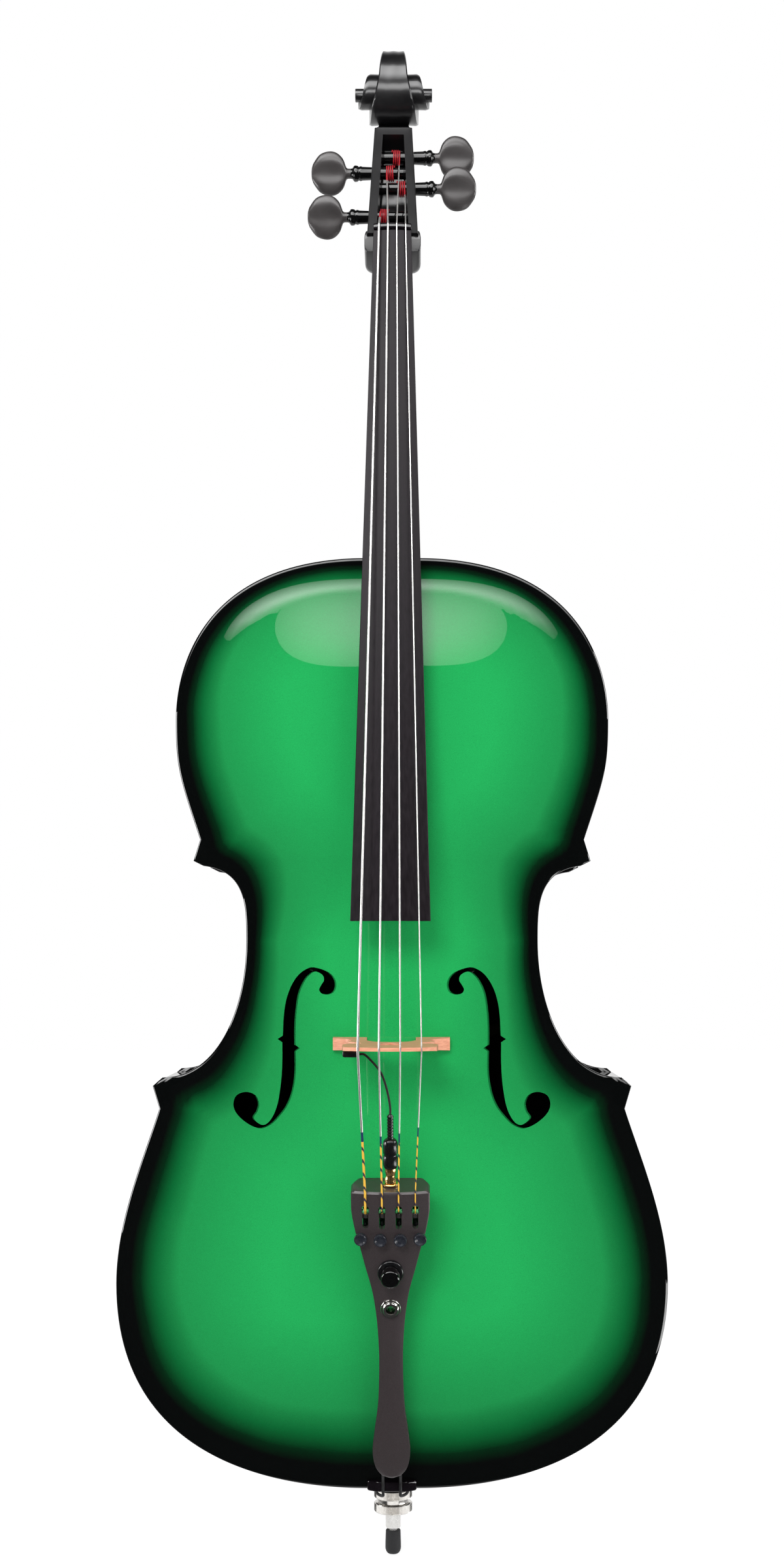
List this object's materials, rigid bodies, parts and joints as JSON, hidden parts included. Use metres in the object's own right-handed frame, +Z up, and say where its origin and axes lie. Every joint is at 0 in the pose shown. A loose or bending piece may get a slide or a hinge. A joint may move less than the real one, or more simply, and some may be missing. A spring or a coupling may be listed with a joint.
{
  "type": "electric cello",
  "caption": "Full-size electric cello with an arched hollow body, carved scroll head, friction pegs, bridge pickup, and a tailpiece that holds fine tuners, a volume knob and jacks.",
  "frame": {"origin": "centre of the flat bottom of the endpin's rubber tip", "axes": "+Z up the instrument towards the scroll, -Y towards the player's bow and strings, +X to the right as seen from the front"},
  "size_m": [0.448, 0.2652, 1.2795],
  "materials": {
    "green_lacquer": "green sunburst under clear gloss",
    "black_lacquer": "black gloss",
    "plain_spruce": "bare",
    "ebony": "satin",
    "maple": "bare, oiled",
    "satin_peg": "satin",
    "composite": "matte",
    "black_plastic": "gloss",
    "black_cord": "satin",
    "red_silk": "wound silk",
    "steel": "polished",
    "nickel": "nickel",
    "gold": "gold plate",
    "rubber": "matte"
  },
  "bodies": {
    "body": {"top_plate": "green_lacquer", "back_plate": "black_lacquer", "lower_rib_left": "black_lacquer", "waist_rib_left": "black_lacquer", "upper_rib_left": "black_lacquer", "lower_corner_block_left": "plain_spruce", "upper_corner_block_left": "plain_spruce", "lower_rib_right": "black_lacquer", "waist_rib_right": "black_lacquer", "upper_rib_right": "black_lacquer", "lower_corner_block_right": "plain_spruce", "upper_corner_block_right": "plain_spruce", "end_block": "plain_spruce", "neck_block": "plain_spruce", "bass_bar": "plain_spruce", "sound_post": "plain_spruce", "neck": "black_lacquer", "fingerboard": "ebony", "nut": "ebony", "bridge": "maple", "saddle": "ebony", "pickup": "black_plastic", "pickup_lead": "black_cord", "tail_gut": "black_cord", "string_c": "steel", "string_g": "steel", "string_d": "steel", "string_a": "steel", "tailpiece": "composite", "tuner_axle": "nickel", "knob_bushing": "black_plastic", "potentiometer": "nickel", "output_jack": "nickel", "input_socket": "gold", "plug_barrel": "gold", "plug_handle": "black_plastic", "endpin_plug": "ebony", "endpin_collar": "nickel"},
    "peg_c": {"peg_c": "satin_peg", "winding_c": "red_silk"},
    "peg_g": {"peg_g": "satin_peg", "winding_g": "red_silk"},
    "peg_d": {"peg_d": "satin_peg", "winding_d": "red_silk"},
    "peg_a": {"peg_a": "satin_peg", "winding_a": "red_silk"},
    "screw_c": {"tuner_screw_c": "black_plastic"},
    "screw_g": {"tuner_screw_g": "black_plastic"},
    "screw_d": {"tuner_screw_d": "black_plastic"},
    "screw_a": {"tuner_screw_a": "black_plastic"},
    "lever_c": {"tuner_lever_c": "nickel"},
    "lever_g": {"tuner_lever_g": "nickel"},
    "lever_d": {"tuner_lever_d": "nickel"},
    "lever_a": {"tuner_lever_a": "nickel"},
    "knob": {"volume_knob": "black_plastic"},
    "lock_ring": {"endpin_lock_ring": "nickel"},
    "endpin": {"endpin_rod": "steel", "endpin_tip": "rubber"}
  },
  "joints": [
    {"name": "peg_c_turn", "type": "hinge", "parent": "body", "child": "peg_c", "pos_m": [0, -0.01365, 1.12134], "axis": [-1, 0, 0], "range_deg": [-360, 360]},
    {"name": "peg_g_turn", "type": "hinge", "parent": "body", "child": "peg_g", "pos_m": [0, 0.00626, 1.16607], "axis": [-1, 0, 0], "range_deg": [-360, 360]},
    {"name": "peg_d_turn", "type": "hinge", "parent": "body", "child": "peg_d", "pos_m": [0, 0.01342, 1.18214], "axis": [-1, 0, 0], "range_deg": [-360, 360]},
    {"name": "peg_a_turn", "type": "hinge", "parent": "body", "child": "peg_a", "pos_m": [0, -0.00084, 1.15012], "axis": [-1, 0, 0], "range_deg": [-360, 360]},
    {"name": "screw_c_turn", "type": "hinge", "parent": "body", "child": "screw_c", "pos_m": [-0.0192, -0.12466, 0.29255], "axis": [0.1564, 0.954, 0.2556], "range_deg": [0, 1800]},
    {"name": "screw_g_turn", "type": "hinge", "parent": "body", "child": "screw_g", "pos_m": [-0.0064, -0.12466, 0.29255], "axis": [0.0523, 0.9646, 0.2585], "range_deg": [0, 1800]},
    {"name": "screw_d_turn", "type": "hinge", "parent": "body", "child": "screw_d", "pos_m": [0.0064, -0.12466, 0.29255], "axis": [-0.0523, 0.9646, 0.2585], "range_deg": [0, 1800]},
    {"name": "screw_a_turn", "type": "hinge", "parent": "body", "child": "screw_a", "pos_m": [0.0192, -0.12466, 0.29255], "axis": [-0.1564, 0.954, 0.2556], "range_deg": [0, 1800]},
    {"name": "lever_c_tilt", "type": "hinge", "parent": "body", "child": "lever_c", "pos_m": [-0.0192, -0.12854, 0.30704], "axis": [1, 0, 0], "range_deg": [0, 12]},
    {"name": "lever_g_tilt", "type": "hinge", "parent": "body", "child": "lever_g", "pos_m": [-0.0064, -0.12854, 0.30704], "axis": [1, 0, 0], "range_deg": [0, 12]},
    {"name": "lever_d_tilt", "type": "hinge", "parent": "body", "child": "lever_d", "pos_m": [0.0064, -0.12854, 0.30704], "axis": [1, 0, 0], "range_deg": [0, 12]},
    {"name": "lever_a_tilt", "type": "hinge", "parent": "body", "child": "lever_a", "pos_m": [0.0192, -0.12854, 0.30704], "axis": [1, 0, 0], "range_deg": [0, 12]},
    {"name": "volume_turn", "type": "hinge", "parent": "body", "child": "knob", "pos_m": [0, -0.13406, 0.26001], "axis": [0, 0.9659, 0.2588], "range_deg": [-150, 150]},
    {"name": "lock_ring_turn", "type": "hinge", "parent": "body", "child": "lock_ring", "pos_m": [0, 0, 0.041], "axis": [0, 0, -1], "range_deg": [0, 360]},
    {"name": "endpin_slide", "type": "slide", "parent": "body", "child": "endpin", "axis": [0, 0, -1], "range_m": [0, 0.35]}
  ],
  "couplings": [
    {"joint": "lever_c_tilt", "follows": "screw_c_turn", "ratio": 0.00625},
    {"joint": "lever_g_tilt", "follows": "screw_g_turn", "ratio": 0.00625},
    {"joint": "lever_d_tilt", "follows": "screw_d_turn", "ratio": 0.00625},
    {"joint": "lever_a_tilt", "follows": "screw_a_turn", "ratio": 0.00625}
  ]
}
